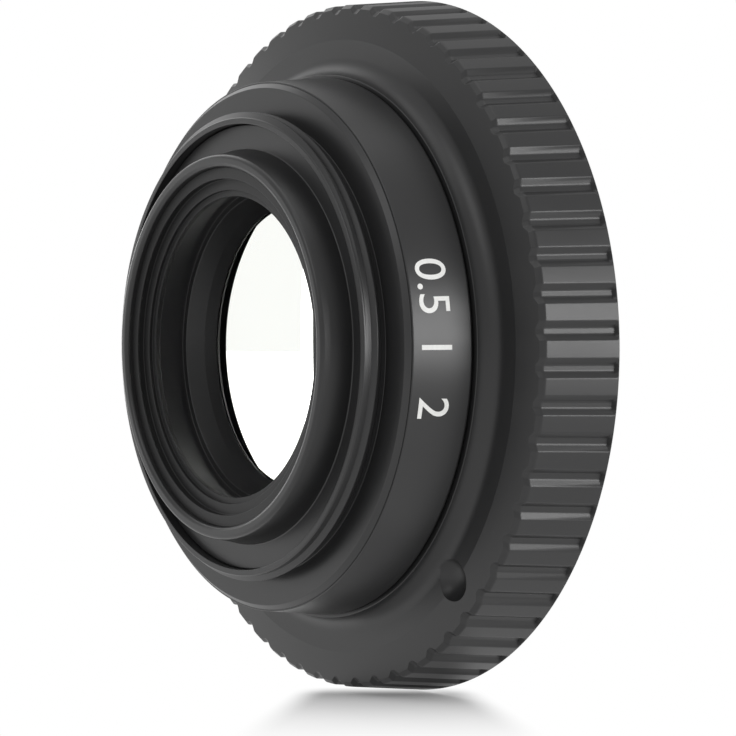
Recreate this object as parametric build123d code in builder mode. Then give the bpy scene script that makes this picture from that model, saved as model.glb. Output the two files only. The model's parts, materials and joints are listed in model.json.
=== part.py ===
"""Fisheye lens on a 37 mm filter thread: knurled focus ring, sliding front cell, rear doublet cell.

The optical axis is Y, with +Y towards the front glass and +Z up, as the lens stands on its ring.
The origin is on the axis in the plane of the mounting seat. Lengths are in millimetres.
"""
import math
import os

from build123d import *

os.makedirs("parts", exist_ok=True)

# Fits
fixed_gap = 0.02
running_gap = 0.05
axial_play = 0.03
end_relief = 0.1
cement_layer = 0.02
overrun = 1.0

# Mounting ring: male thread, seat and the web that holds the rear cell
thread_radius = 18.5
spigot_length = 2.04
spigot_wall = 0.94
spigot_chamfer = 0.3
seat_width = 1.94
flange_chamfer = 0.36
flange_thickness = 0.42
shank_step = 1.1
shank_length = 1.38
web_setback = 0.2
ledge_width = 1.1

# Rear cell: tube, flange, shank, body and nose
recess_depth = 0.74
cell_flange_thickness = 0.8
tube_length = 2.52
tube_root_step = 1.94
tube_taper = 0.5
tube_wall = 0.94
tube_lip = 0.3
cell_shank_length = 2.9
cell_body_step = 1.5
cell_body_gap = 0.8
nose_gap = 0.32
nose_wall = 0.75

# Bore of the rear cell, from the baffle to the glass
baffle_seat_depth = 2.32
rear_bore_step = 1.53
rear_bore_length = 2.19
funnel_step = 0.5
funnel_length = 1.41
bevel_rise = 0.36
bevel_length = 0.98

# Rear baffle
baffle_step_width = 0.88
baffle_step_height = 0.57
baffle_lip_width = 0.48
baffle_lip_height = 0.32
baffle_lip_thickness = 0.4

# Rear doublet and its retainer
doublet_lip = 1.4
crown_rear_curve = 38.0
crown_edge = 0.88
cement_curve = 55.0
flint_thickness = 1.0
flint_front_curve = 120.0
doublet_retainer_width = 0.6
doublet_retainer_thickness = 0.75

# Barrel
barrel_length = 5.08
barrel_rear_step = 0.14
barrel_rise = 0.54
barrel_edge = 0.15
bore_step = 0.1
journal_wall = 1.25

# Grip ring
hub_play = 0.06
hub_land = 1.0
parting_width = 0.4
hub_step = 0.22
hub_fillet_radius = 1.45
shoulder_flat = 1.4
shoulder_rise = 0.36
rim_height = 1.03
rim_crown = 0.1
web_thickness = 1.16
grip_wall = 1.05
groove_count = 62
groove_depth = 0.95
groove_top_share = 0.53
groove_floor_share = 0.17
grip_front_chamfer = 0.42
grip_bore_chamfer = 0.4
grip_front_setback = 0.18

# Index dimple in the shoulder
dimple_ball_radius = 2.0
dimple_depth = 0.9
dimple_outset = 1.15
dimple_angle = -47.0

# Washer and retainer of the grip ring
washer_thickness = 0.3
washer_width = 2.6
grip_retainer_thickness = 1.0
grip_retainer_width = 2.75

# Helicoid nut and front cell
nut_wall = 1.38
nut_setback = 0.2
front_cell_gap = 0.38
front_web_thickness = 1.0
front_wall = 1.8
front_rim_height = 1.78
sleeve_wall = 3.0
sleeve_end_setback = 0.25

# Front glass
front_glass_step = 2.15
front_glass_edge = 1.1
front_curve = 34.0
front_glass_thickness = 3.0
front_rear_curve = 18.0

# Seal and front retainer
seal_section_radius = 0.45
seal_gap = 0.05
seal_room = 0.75
front_retainer_gap = 0.1
front_retainer_lip = 0.25
front_retainer_bevel = 0.6

# Light stop, second glass and its retainer
light_stop_thickness = 0.25
light_stop_width = 0.93
light_stop_relief = 0.6
second_edge = 2.2
second_flat_gap = 0.1
second_front_curve = 60.0
second_rear_curve = 40.0
second_retainer_width = 1.9
second_retainer_thickness = 1.3

# Pins, slots and the turn of the ring
full_turn_degrees = 360.0
turn_degrees = 90.0
guide_pin_count = 3
guide_pin_radius = 0.7
guide_pin_degrees = 30.0
guide_pin_setback = 1.84
guide_slot_depth = 1.15
stop_pin_radius = 0.55
stop_pin_degrees = 90.0
stop_pin_setback = 1.5
stop_pin_reach = 0.9
pin_gap = 0.1


def sag(curve_radius, height):
    """Depth of a spherical face at a height above the axis."""
    return curve_radius - math.sqrt(curve_radius**2 - height**2)


def glass_arc(vertex_y, curve_radius, edge_radius, way):
    """Three points of a spherical face from the axis out, its edge on the side that way gives."""
    return [
        (0, vertex_y),
        (edge_radius / 2, vertex_y + way * sag(curve_radius, edge_radius / 2)),
        (edge_radius, vertex_y + way * sag(curve_radius, edge_radius)),
    ]


def axis_point(radius, degrees, station):
    """Point at a radius, an angle from +X towards +Z, and a station along the axis."""
    angle = math.radians(degrees)
    return (radius * math.cos(angle), station, radius * math.sin(angle))


def radial_plane(radius, degrees, station):
    """Plane whose normal points straight out from the axis, with local x along the axis."""
    origin = axis_point(radius, degrees, station)
    return Plane(origin=origin, x_dir=(0, 1, 0), z_dir=axis_point(1, degrees, 0))


def profile_plane(degrees):
    """Plane through the axis, with local x pointing out and local y along the axis."""
    outward = axis_point(1, degrees, 0)
    return Plane(origin=(0, 0, 0), x_dir=outward, z_dir=(-outward[2], 0, outward[0]))


def cross_plane(station):
    """Plane square to the axis, with its normal towards the rear."""
    return Plane.XZ.offset(-station)


# Stations along the axis, from the seat forwards
seat_y = 0
barrel_rear_y = seat_y + flange_thickness
shank_end_y = barrel_rear_y + shank_length
barrel_front_y = barrel_rear_y + barrel_length
hub_rear_y = barrel_front_y + hub_play
hub_edge_y = barrel_front_y + parting_width
shoulder_y = hub_edge_y + hub_fillet_radius
rim_rear_y = shoulder_y + shoulder_rise
web_front_y = shoulder_y + web_thickness
washer_y = web_front_y + axial_play
grip_retainer_y = washer_y + washer_thickness
journal_end_y = grip_retainer_y + grip_retainer_thickness
front_web_y = journal_end_y + front_cell_gap
front_seat_y = front_web_y + front_web_thickness
front_edge_y = front_seat_y + front_glass_edge
front_rim_y = front_edge_y + front_rim_height
grip_front_y = front_rim_y + grip_front_setback
nut_front_y = grip_front_y - nut_setback
light_stop_y = front_web_y - light_stop_thickness
second_rear_y = light_stop_y - second_edge
second_retainer_y = second_rear_y - second_retainer_thickness
sleeve_rear_y = second_retainer_y - sleeve_end_setback
guide_pin_y = journal_end_y - guide_pin_setback
stop_pin_y = web_front_y - stop_pin_setback

# Stations along the axis, from the seat rearwards
spigot_rear_y = seat_y - spigot_length
recess_floor_y = spigot_rear_y + recess_depth
cell_flange_y = recess_floor_y + cell_flange_thickness
cell_shank_end_y = cell_flange_y + cell_shank_length
cell_body_end_y = sleeve_rear_y - cell_body_gap
web_rear_y = seat_y - web_setback
tube_rear_y = recess_floor_y - tube_length
baffle_seat_y = tube_rear_y + baffle_seat_depth
funnel_y = baffle_seat_y + rear_bore_length
bevel_y = funnel_y + funnel_length
pocket_y = bevel_y + bevel_length

# Radii outside the thread
seat_radius = thread_radius + seat_width
flange_radius = seat_radius + flange_chamfer
barrel_rear_radius = flange_radius + barrel_rear_step
barrel_front_radius = barrel_rear_radius + barrel_rise
shank_radius = thread_radius + shank_step
barrel_bore = thread_radius + bore_step
journal_radius = barrel_bore + journal_wall
washer_bore = journal_radius + fixed_gap
hub_bore = journal_radius + running_gap
hub_radius = barrel_front_radius + hub_step
shoulder_radius = hub_radius + hub_fillet_radius
front_glass_radius = journal_radius + front_glass_step
seal_bore = front_glass_radius + seal_room
front_cell_radius = seal_bore + front_wall
nut_bore = front_cell_radius + running_gap
nut_radius = nut_bore + nut_wall
grip_bore = nut_radius + fixed_gap
groove_floor_radius = grip_bore + grip_wall
grip_radius = groove_floor_radius + groove_depth
rim_radius = grip_radius - rim_height

# Radii inside the thread
spigot_bore = thread_radius - spigot_wall
cell_flange_radius = spigot_bore - running_gap
web_bore = spigot_bore - ledge_width
cell_shank_radius = web_bore - fixed_gap
cell_body_radius = cell_shank_radius - cell_body_step
tube_root_radius = cell_flange_radius - tube_root_step
tube_radius = tube_root_radius - tube_taper
tube_bore = tube_radius - tube_wall
rear_bore = tube_bore - rear_bore_step
funnel_radius = rear_bore - funnel_step
sleeve_radius = barrel_bore - running_gap
sleeve_bore = sleeve_radius - sleeve_wall
second_radius = sleeve_bore - fixed_gap
second_retainer_bore = second_radius - second_retainer_width
light_stop_radius = second_radius - light_stop_width
nose_radius = second_retainer_bore - nose_gap
cell_bore = nose_radius - nose_wall
doublet_radius = cell_bore - fixed_gap
clear_radius = doublet_radius - doublet_lip

# Places of the rear doublet along the axis
crown_rear_y = pocket_y - sag(crown_rear_curve, clear_radius)
cement_y = pocket_y + crown_edge + sag(cement_curve, doublet_radius)
flint_rear_y = cement_y + cement_layer
flint_front_y = flint_rear_y + flint_thickness
doublet_retainer_bore = doublet_radius - doublet_retainer_width
doublet_retainer_y = flint_front_y - sag(flint_front_curve, doublet_retainer_bore)
nose_end_y = doublet_retainer_y + doublet_retainer_thickness + end_relief

# Places of the front glass, its seal and its retainer
dome_centre_y = front_edge_y - math.sqrt(front_curve**2 - front_glass_radius**2)
dome_front_y = dome_centre_y + front_curve
dome_rear_y = dome_front_y - front_glass_thickness
hollow_radius = math.sqrt(front_rear_curve**2 - (front_seat_y - dome_rear_y + front_rear_curve) ** 2)
seal_centre_radius = seal_bore - seal_gap - seal_section_radius
seal_y = front_edge_y + seal_gap + seal_section_radius
front_retainer_y = seal_y + seal_section_radius + seal_gap
dome_at_retainer = math.sqrt(front_curve**2 - (front_retainer_y - dome_centre_y) ** 2)
front_retainer_bore = dome_at_retainer + front_retainer_gap

# Places of the second glass
second_front_radius = light_stop_radius - second_flat_gap
second_front_y = light_stop_y + sag(second_front_curve, second_front_radius)
second_hollow_y = second_rear_y + sag(second_rear_curve, second_retainer_bore)

# Sizes of the grooves, the pins and the arc that the stop pin runs in
groove_pitch = 2 * math.pi * grip_radius / groove_count
groove_top = groove_top_share * groove_pitch
groove_floor = groove_floor_share * groove_pitch
groove_flank = (groove_top - groove_floor) / 2 / groove_depth
groove_start_degrees = full_turn_degrees / groove_count / 2
guide_slot_floor = sleeve_radius - guide_slot_depth
guide_slot_radius = guide_pin_radius + pin_gap
stop_groove_radius = journal_radius + stop_pin_reach + pin_gap
stop_half_degrees = math.degrees(math.asin((stop_pin_radius + pin_gap) / hub_bore))
guide_pin_angles = [
    guide_pin_degrees + index * full_turn_degrees / guide_pin_count for index in range(guide_pin_count)
]

# Mounting ring
with BuildPart() as mount_ring:
    with BuildSketch(Plane.XY):
        with BuildLine():
            Polyline(
                (spigot_bore, spigot_rear_y),
                (thread_radius - spigot_chamfer, spigot_rear_y),
                (thread_radius, spigot_rear_y + spigot_chamfer),
                (thread_radius, seat_y),
                (seat_radius, seat_y),
                (flange_radius, seat_y + flange_chamfer),
                (flange_radius, barrel_rear_y),
                (shank_radius, barrel_rear_y),
                (shank_radius, shank_end_y),
                (web_bore, shank_end_y),
                (web_bore, web_rear_y),
                (spigot_bore, web_rear_y),
                close=True,
            )
        make_face()
    revolve(axis=Axis.Y)
mount_ring.part.label = "mount_ring"
export_step(mount_ring.part, "parts/mount_ring.step")

# Shim between the rear cell's flange and the web of the mounting ring
with BuildPart() as spacing_shim:
    with BuildSketch(cross_plane(cell_flange_y)):
        Circle(cell_flange_radius)
        Circle(web_bore, mode=Mode.SUBTRACT)
    extrude(amount=cell_flange_y - web_rear_y)
spacing_shim.part.label = "spacing_shim"
export_step(spacing_shim.part, "parts/spacing_shim.step")

# Rear cell, with its rounded tube end
with BuildPart() as rear_cell:
    with BuildSketch(Plane.XY):
        with BuildLine():
            Polyline(
                (tube_bore, tube_rear_y),
                (tube_radius, tube_rear_y),
                (tube_root_radius, recess_floor_y),
                (cell_flange_radius, recess_floor_y),
                (cell_flange_radius, cell_flange_y),
                (cell_shank_radius, cell_flange_y),
                (cell_shank_radius, cell_shank_end_y),
                (cell_body_radius, cell_shank_end_y),
                (cell_body_radius, cell_body_end_y),
                (nose_radius, cell_body_end_y),
                (nose_radius, nose_end_y),
                (cell_bore, nose_end_y),
                (cell_bore, pocket_y),
                (clear_radius, pocket_y),
                (clear_radius + bevel_rise, bevel_y),
                (funnel_radius, funnel_y),
                (rear_bore, funnel_y),
                (rear_bore, baffle_seat_y),
                (tube_bore, baffle_seat_y),
                close=True,
            )
        make_face()
    revolve(axis=Axis.Y)
    fillet(rear_cell.edges().filter_by(GeomType.CIRCLE).group_by(Axis.Y)[0], radius=tube_lip)
rear_cell.part.label = "rear_cell"
export_step(rear_cell.part, "parts/rear_cell.step")

# Stepped baffle inside the rear tube
baffle_radius = tube_bore - fixed_gap
baffle_rear_y = tube_rear_y + baffle_step_height
baffle_mid_radius = baffle_radius - baffle_step_width
baffle_mid_y = baffle_rear_y + baffle_step_height
baffle_lip_rear_y = baffle_mid_y + baffle_lip_height
baffle_lip_radius = baffle_mid_radius - baffle_step_width - baffle_lip_width
with BuildPart() as rear_baffle:
    with BuildSketch(Plane.XY):
        with BuildLine():
            Polyline(
                (baffle_radius, baffle_rear_y),
                (baffle_radius, baffle_seat_y),
                (rear_bore, baffle_seat_y),
                (baffle_lip_radius, baffle_lip_rear_y + baffle_lip_thickness),
                (baffle_lip_radius, baffle_lip_rear_y),
                (baffle_lip_radius + baffle_lip_width, baffle_lip_rear_y),
                (baffle_lip_radius + baffle_lip_width, baffle_mid_y),
                (baffle_mid_radius, baffle_mid_y),
                (baffle_mid_radius, baffle_rear_y),
                close=True,
            )
        make_face()
    revolve(axis=Axis.Y)
rear_baffle.part.label = "rear_baffle"
export_step(rear_baffle.part, "parts/rear_baffle.step")

# Rear glass of the doublet, convex on both sides
with BuildPart() as doublet_crown:
    with BuildSketch(Plane.XY):
        with BuildLine():
            crown_rear = ThreePointArc(*glass_arc(crown_rear_y, crown_rear_curve, clear_radius, 1))
            crown_front = ThreePointArc(*glass_arc(cement_y, cement_curve, doublet_radius, -1))
            Polyline(crown_rear @ 1, (doublet_radius, pocket_y), crown_front @ 1)
            Line(crown_rear @ 0, crown_front @ 0)
        make_face()
    revolve(axis=Axis.Y)
doublet_crown.part.label = "doublet_crown"
export_step(doublet_crown.part, "parts/doublet_crown.step")

# Front glass of the doublet, hollow where it meets the cement
with BuildPart() as doublet_flint:
    with BuildSketch(Plane.XY):
        with BuildLine():
            flint_rear = ThreePointArc(*glass_arc(flint_rear_y, cement_curve, doublet_radius, -1))
            flint_front = ThreePointArc(
                *glass_arc(flint_front_y, flint_front_curve, doublet_retainer_bore, -1)
            )
            Polyline(flint_rear @ 1, (doublet_radius, doublet_retainer_y), flint_front @ 1)
            Line(flint_rear @ 0, flint_front @ 0)
        make_face()
    revolve(axis=Axis.Y)
doublet_flint.part.label = "doublet_flint"
export_step(doublet_flint.part, "parts/doublet_flint.step")

# Threaded ring that holds the doublet
with BuildPart() as doublet_retainer:
    with BuildSketch(cross_plane(doublet_retainer_y)):
        Circle(doublet_radius)
        Circle(doublet_retainer_bore, mode=Mode.SUBTRACT)
    extrude(amount=-doublet_retainer_thickness)
doublet_retainer.part.label = "doublet_retainer"
export_step(doublet_retainer.part, "parts/doublet_retainer.step")

# Barrel: tapered marking band and the journal for the grip ring
with BuildPart() as barrel:
    with BuildSketch(Plane.XY):
        with BuildLine():
            Polyline(
                (shank_radius + fixed_gap, barrel_rear_y),
                (barrel_rear_radius, barrel_rear_y),
                (barrel_front_radius, barrel_front_y - barrel_edge),
                (barrel_front_radius - barrel_edge, barrel_front_y),
                (journal_radius, barrel_front_y),
                (journal_radius, journal_end_y),
                (barrel_bore, journal_end_y),
                (barrel_bore, shank_end_y + end_relief),
                (shank_radius + fixed_gap, shank_end_y + end_relief),
                close=True,
            )
        make_face()
    revolve(axis=Axis.Y)
    for angle in guide_pin_angles:
        with BuildSketch(radial_plane(guide_slot_floor, angle, guide_pin_y)):
            Circle(guide_pin_radius + fixed_gap)
        extrude(amount=hub_radius - guide_slot_floor, mode=Mode.SUBTRACT)
    with BuildSketch(radial_plane(guide_slot_floor, stop_pin_degrees, stop_pin_y)):
        Circle(stop_pin_radius + fixed_gap)
    extrude(amount=hub_radius - guide_slot_floor, mode=Mode.SUBTRACT)
barrel.part.label = "barrel"
export_step(barrel.part, "parts/barrel.step")

# Three pins that run in the slots of the front cell
guide_pin_inner = guide_slot_floor + pin_gap
guide_pin_length = journal_radius - pin_gap - guide_pin_inner
with BuildPart() as guide_pins:
    for angle in guide_pin_angles:
        with BuildSketch(radial_plane(guide_pin_inner, angle, guide_pin_y)):
            Circle(guide_pin_radius)
        extrude(amount=guide_pin_length)
guide_pins.part.label = "guide_pins"
export_step(guide_pins.part, "parts/guide_pins.step")

# Pin that stops the turn of the grip ring
stop_pin_inner = barrel_bore + pin_gap
with BuildPart() as turn_stop_pin:
    with BuildSketch(radial_plane(stop_pin_inner, stop_pin_degrees, stop_pin_y)):
        Circle(stop_pin_radius)
    extrude(amount=journal_radius + stop_pin_reach - stop_pin_inner)
turn_stop_pin.part.label = "turn_stop_pin"
export_step(turn_stop_pin.part, "parts/turn_stop_pin.step")

# Washer that the web of the grip ring runs against
with BuildPart() as glide_washer:
    with BuildSketch(cross_plane(washer_y)):
        Circle(washer_bore + washer_width)
        Circle(washer_bore, mode=Mode.SUBTRACT)
    extrude(amount=-washer_thickness)
glide_washer.part.label = "glide_washer"
export_step(glide_washer.part, "parts/glide_washer.step")

# Threaded ring on the journal that keeps the grip ring on
with BuildPart() as grip_retainer:
    with BuildSketch(cross_plane(grip_retainer_y)):
        Circle(washer_bore + grip_retainer_width)
        Circle(washer_bore, mode=Mode.SUBTRACT)
    extrude(amount=-grip_retainer_thickness)
grip_retainer.part.label = "grip_retainer"
export_step(grip_retainer.part, "parts/grip_retainer.step")

# One groove of the grip, from its floor outwards past the rim
groove_reach = groove_depth + overrun
with BuildSketch() as groove_section:
    Polygon(
        (0, -groove_floor / 2),
        (groove_reach, -groove_floor / 2 - groove_flank * groove_reach),
        (groove_reach, groove_floor / 2 + groove_flank * groove_reach),
        (0, groove_floor / 2),
        align=None,
    )

# Grip ring: hub with fillet, shoulder with dimple, crowned rear rim and grooves
with BuildPart() as grip_ring:
    with BuildSketch(Plane.XY):
        with BuildLine():
            hub_fillet = RadiusArc(
                (hub_radius, hub_edge_y), (shoulder_radius, shoulder_y), hub_fillet_radius
            )
            shoulder = Polyline(
                hub_fillet @ 1,
                (shoulder_radius + shoulder_flat, shoulder_y),
                (rim_radius, rim_rear_y),
            )
            rim_middle = (
                (rim_radius + grip_radius + math.sqrt(2) * rim_crown) / 2,
                rim_rear_y + (rim_height - math.sqrt(2) * rim_crown) / 2,
            )
            rim = ThreePointArc(shoulder @ 1, rim_middle, (grip_radius, rim_rear_y + rim_height))
            Polyline(
                rim @ 1,
                (grip_radius, grip_front_y - grip_front_chamfer),
                (grip_radius - grip_front_chamfer, grip_front_y),
                (grip_bore + grip_bore_chamfer, grip_front_y),
                (grip_bore, grip_front_y - grip_bore_chamfer),
                (grip_bore, web_front_y),
                (hub_bore, web_front_y),
                (hub_bore, hub_rear_y),
                (hub_bore + hub_land, hub_rear_y),
                (hub_bore + hub_land, hub_edge_y),
                hub_fillet @ 0,
            )
        make_face()
    revolve(axis=Axis.Y)
    with BuildSketch(profile_plane(stop_pin_degrees + stop_half_degrees)):
        with BuildLine():
            Polyline(
                (barrel_bore, stop_pin_y - stop_pin_radius - pin_gap),
                (stop_groove_radius, stop_pin_y - stop_pin_radius - pin_gap),
                (stop_groove_radius, stop_pin_y + stop_pin_radius + pin_gap),
                (barrel_bore, stop_pin_y + stop_pin_radius + pin_gap),
                close=True,
            )
        make_face()
    revolve(axis=Axis.Y, revolution_arc=turn_degrees + 2 * stop_half_degrees, mode=Mode.SUBTRACT)
    dimple_centre_y = shoulder_y + dimple_depth - dimple_ball_radius
    with Locations(axis_point(shoulder_radius + dimple_outset, dimple_angle, dimple_centre_y)):
        Sphere(dimple_ball_radius, mode=Mode.SUBTRACT)
    with BuildSketch(cross_plane(grip_front_y + overrun)):
        with PolarLocations(groove_floor_radius, groove_count, start_angle=groove_start_degrees):
            add(groove_section.sketch)
    extrude(amount=grip_front_y - rim_rear_y + 2 * overrun, mode=Mode.SUBTRACT)
grip_ring.part.label = "grip_ring"
export_step(grip_ring.part, "parts/grip_ring.step")

# Threaded nut fixed in the grip ring
with BuildPart() as helicoid_nut:
    with BuildSketch(cross_plane(web_front_y)):
        Circle(nut_radius)
        Circle(nut_bore, mode=Mode.SUBTRACT)
    extrude(amount=web_front_y - nut_front_y)
helicoid_nut.part.label = "helicoid_nut"
export_step(helicoid_nut.part, "parts/helicoid_nut.step")

# Front cell: slotted guide sleeve, web and the threaded wall around the front glass
with BuildPart() as front_cell:
    with BuildSketch(Plane.XY):
        with BuildLine():
            Polyline(
                (sleeve_bore, sleeve_rear_y),
                (sleeve_radius, sleeve_rear_y),
                (sleeve_radius, front_web_y),
                (front_cell_radius, front_web_y),
                (front_cell_radius, front_rim_y),
                (seal_bore, front_rim_y),
                (seal_bore, front_edge_y),
                (front_glass_radius + fixed_gap, front_edge_y),
                (front_glass_radius + fixed_gap, front_seat_y),
                (light_stop_radius + light_stop_relief, front_seat_y),
                (light_stop_radius + light_stop_relief, front_web_y),
                (sleeve_bore, front_web_y),
                close=True,
            )
        make_face()
    revolve(axis=Axis.Y)
    for angle in guide_pin_angles:
        with BuildSketch(radial_plane(guide_slot_floor, angle, guide_pin_y)):
            Circle(guide_slot_radius)
            with Locations((sleeve_rear_y - guide_pin_y, 0)):
                Rectangle(2 * (guide_pin_y - sleeve_rear_y), 2 * guide_slot_radius)
        extrude(amount=journal_radius - guide_slot_floor, mode=Mode.SUBTRACT)
front_cell.part.label = "front_cell"
export_step(front_cell.part, "parts/front_cell.step")

# Thin blackened ring in front of the second glass
with BuildPart() as light_stop:
    with BuildSketch(cross_plane(light_stop_y)):
        Circle(second_radius)
        Circle(light_stop_radius, mode=Mode.SUBTRACT)
    extrude(amount=-light_stop_thickness)
light_stop.part.label = "light_stop"
export_step(light_stop.part, "parts/light_stop.step")

# Second glass, domed to the front and hollow to the rear
with BuildPart() as second_element:
    with BuildSketch(Plane.XY):
        with BuildLine():
            second_rear = ThreePointArc(
                *glass_arc(second_hollow_y, second_rear_curve, second_retainer_bore, -1)
            )
            second_front = ThreePointArc(
                *glass_arc(second_front_y, second_front_curve, second_front_radius, -1)
            )
            Polyline(
                second_rear @ 1,
                (second_radius, second_rear_y),
                (second_radius, light_stop_y),
                second_front @ 1,
            )
            Line(second_rear @ 0, second_front @ 0)
        make_face()
    revolve(axis=Axis.Y)
second_element.part.label = "second_element"
export_step(second_element.part, "parts/second_element.step")

# Threaded ring that holds the second glass
with BuildPart() as second_retainer:
    with BuildSketch(cross_plane(second_retainer_y)):
        Circle(second_radius)
        Circle(second_retainer_bore, mode=Mode.SUBTRACT)
    extrude(amount=-second_retainer_thickness)
second_retainer.part.label = "second_retainer"
export_step(second_retainer.part, "parts/second_retainer.step")

# Domed front glass with a hollow rear face
with BuildPart() as front_element:
    with BuildSketch(Plane.XY):
        with BuildLine():
            dome = ThreePointArc(*glass_arc(dome_front_y, front_curve, front_glass_radius, -1))
            hollow = ThreePointArc(*glass_arc(dome_rear_y, front_rear_curve, hollow_radius, -1))
            Polyline(dome @ 1, (front_glass_radius, front_seat_y), hollow @ 1)
            Line(dome @ 0, hollow @ 0)
        make_face()
    revolve(axis=Axis.Y)
front_element.part.label = "front_element"
export_step(front_element.part, "parts/front_element.step")

# Rubber ring in the corner between the dome and the front cell
with BuildPart() as front_seal:
    with BuildSketch(Plane.XY):
        with Locations((seal_centre_radius, seal_y)):
            Circle(seal_section_radius)
    revolve(axis=Axis.Y)
front_seal.part.label = "front_seal"
export_step(front_seal.part, "parts/front_seal.step")

# Bevelled ring that holds the front glass
front_retainer_radius = seal_bore - fixed_gap
front_retainer_front_y = front_rim_y + front_retainer_lip
with BuildPart() as front_retainer:
    with BuildSketch(Plane.XY):
        with BuildLine():
            Polyline(
                (front_retainer_bore, front_retainer_y),
                (front_retainer_radius, front_retainer_y),
                (front_retainer_radius, front_retainer_front_y),
                (front_retainer_bore + front_retainer_bevel, front_retainer_front_y),
                (front_retainer_bore, front_retainer_front_y - front_retainer_bevel),
                close=True,
            )
        make_face()
    revolve(axis=Axis.Y)
front_retainer.part.label = "front_retainer"
export_step(front_retainer.part, "parts/front_retainer.step")
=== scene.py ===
"""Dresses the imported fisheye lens: turned and knurled metal, coated glass, dial numerals and a stage.

The optical axis is Y, with +Y towards the domed front glass and +Z up. Lengths are in metres.
"""
import json
import math

import bmesh
import bpy
from bpy.props import FloatProperty, FloatVectorProperty, IntProperty, PointerProperty, StringProperty
from mathutils import Matrix, Vector


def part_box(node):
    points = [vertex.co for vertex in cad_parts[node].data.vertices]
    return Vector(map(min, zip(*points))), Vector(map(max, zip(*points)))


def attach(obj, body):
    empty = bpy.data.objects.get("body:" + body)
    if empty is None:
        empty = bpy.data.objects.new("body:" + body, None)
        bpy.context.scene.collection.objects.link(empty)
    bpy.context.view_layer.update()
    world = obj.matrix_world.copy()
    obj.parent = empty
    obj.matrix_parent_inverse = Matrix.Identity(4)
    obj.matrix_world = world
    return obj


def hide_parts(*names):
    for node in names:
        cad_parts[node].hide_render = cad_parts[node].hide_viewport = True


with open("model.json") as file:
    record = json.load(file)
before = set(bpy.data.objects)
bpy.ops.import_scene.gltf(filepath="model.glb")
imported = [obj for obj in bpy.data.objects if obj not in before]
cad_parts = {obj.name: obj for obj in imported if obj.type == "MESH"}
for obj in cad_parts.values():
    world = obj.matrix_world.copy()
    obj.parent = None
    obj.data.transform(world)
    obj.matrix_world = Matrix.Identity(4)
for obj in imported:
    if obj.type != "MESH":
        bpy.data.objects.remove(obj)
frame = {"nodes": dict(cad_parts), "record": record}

bl_info = {
    "name": "Fisheye Lens Finish",
    "version": (1, 0, 0),
    "blender": (4, 5, 0),
    "location": "View3D > Sidebar > Lens",
    "description": "Builds the visible rings, knurl, glass and numerals of a screw-on fisheye lens",
    "category": "Object",
}

MM = 0.001
FULL_TURN = 2 * math.pi

# Meshing: creases, welding distances, steps, and the shares of a face that a rounding and its hold take
CREASE = math.radians(38)
THREAD_CREASE = math.radians(25)
WELD = 0.0005 * MM
SLICE_WELD = 0.002 * MM
FILLET_STEPS = 9
BALL_SUBDIVISIONS = 5
ROUNDING_SHARE = 0.45
HOLD_SHARE = 0.48

# Clearances between pieces, and how far a polished face ends inside the ring in front of it
SEATING_GAP = 0.02 * MM
RUNNING_GAP = 0.05 * MM
SHANK_GAP = 0.1 * MM
POLISH_MARGIN = 0.1 * MM

# Thread ridge: how deep its foot sits in the root, and its share of full size at its ends
RIDGE_FOOT = 0.01 * MM
RIDGE_TIP = 0.02

# Numerals before they are scaled: half their thickness, the steps of a curve and the welding distance
LETTER_DEPTH = 0.5
LETTER_STEPS = 8
LETTER_WELD = 0.00001

# Grain of the finishes: noise scales per metre and details, the bump, and the spread of tone and gloss
BLAST_SCALE = 5200.0
CLOUD_SCALE = 160.0
TURNING_SCALE = 9000.0
TURNING_SLANT = 0.83
FINE_DETAIL = 2.0
CLOUD_DETAIL = 3.0
BUMP_STRENGTH = 0.35
GRAIN_DEPTH = 0.004 * MM
PAINT_GRAIN = 0.003 * MM
DYE_SPREAD = 0.24
CLOUD_GLOSS = 0.08
BLAST_GLOSS = 0.05
GRAIN_SPREAD = 0.2
GRAIN_GLOSS = 0.1

# Glass: refractive indices, the coating's thickness in nanometres and the share of the mirroring glass
GLASS_INDEX = 1.6
COATING_INDEX = 1.38
COATING_THICKNESS = 140.0
MIRROR_SHARE = 0.1

# Stage: the floor's gloss, and the camera's sensor in millimetres and near limit
FLOOR_ROUGHNESS = 0.9
SENSOR_WIDTH = 36
CLIP_START = 10 * MM

CORNERS = {node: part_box(node) for node in frame["nodes"]}
THREAD_RADIUS = next(
    mount["dims"]["r_mm"] * MM for mount in frame["record"]["mounts"] if mount["name"] == "male_thread"
)


def rear(node):
    """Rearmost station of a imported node."""
    return CORNERS[node][0].y


def front(node):
    """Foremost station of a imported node."""
    return CORNERS[node][1].y


def reach(node):
    """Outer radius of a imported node."""
    return CORNERS[node][1].x


def bore(node):
    """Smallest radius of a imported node."""
    return min(math.hypot(vertex.co.x, vertex.co.z) for vertex in frame["nodes"][node].data.vertices)


def length(name, description, metres):
    """A size in metres."""
    return FloatProperty(
        name=name, description=description, default=metres, precision=5, subtype="DISTANCE", unit="LENGTH"
    )


def angle(name, description, degrees):
    """An angle, given in degrees."""
    return FloatProperty(
        name=name, description=description, default=math.radians(degrees), subtype="ANGLE", unit="ROTATION"
    )


def factor(name, description, default):
    """A number from 0 to 1."""
    return FloatProperty(
        name=name, description=description, default=default, min=0, max=1, subtype="FACTOR"
    )


def number(name, description, default):
    """A plain number."""
    return FloatProperty(name=name, description=description, default=default)


def power(name, description, watts):
    """A lamp's power in watts."""
    return FloatProperty(name=name, description=description, default=watts, min=0, unit="POWER")


def camera_length(name, description, millimetres):
    """A focal length in millimetres."""
    return FloatProperty(
        name=name, description=description, default=millimetres, subtype="DISTANCE_CAMERA", unit="CAMERA"
    )


def count(name, description, default):
    """A whole number."""
    return IntProperty(name=name, description=description, default=default, min=1)


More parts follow.
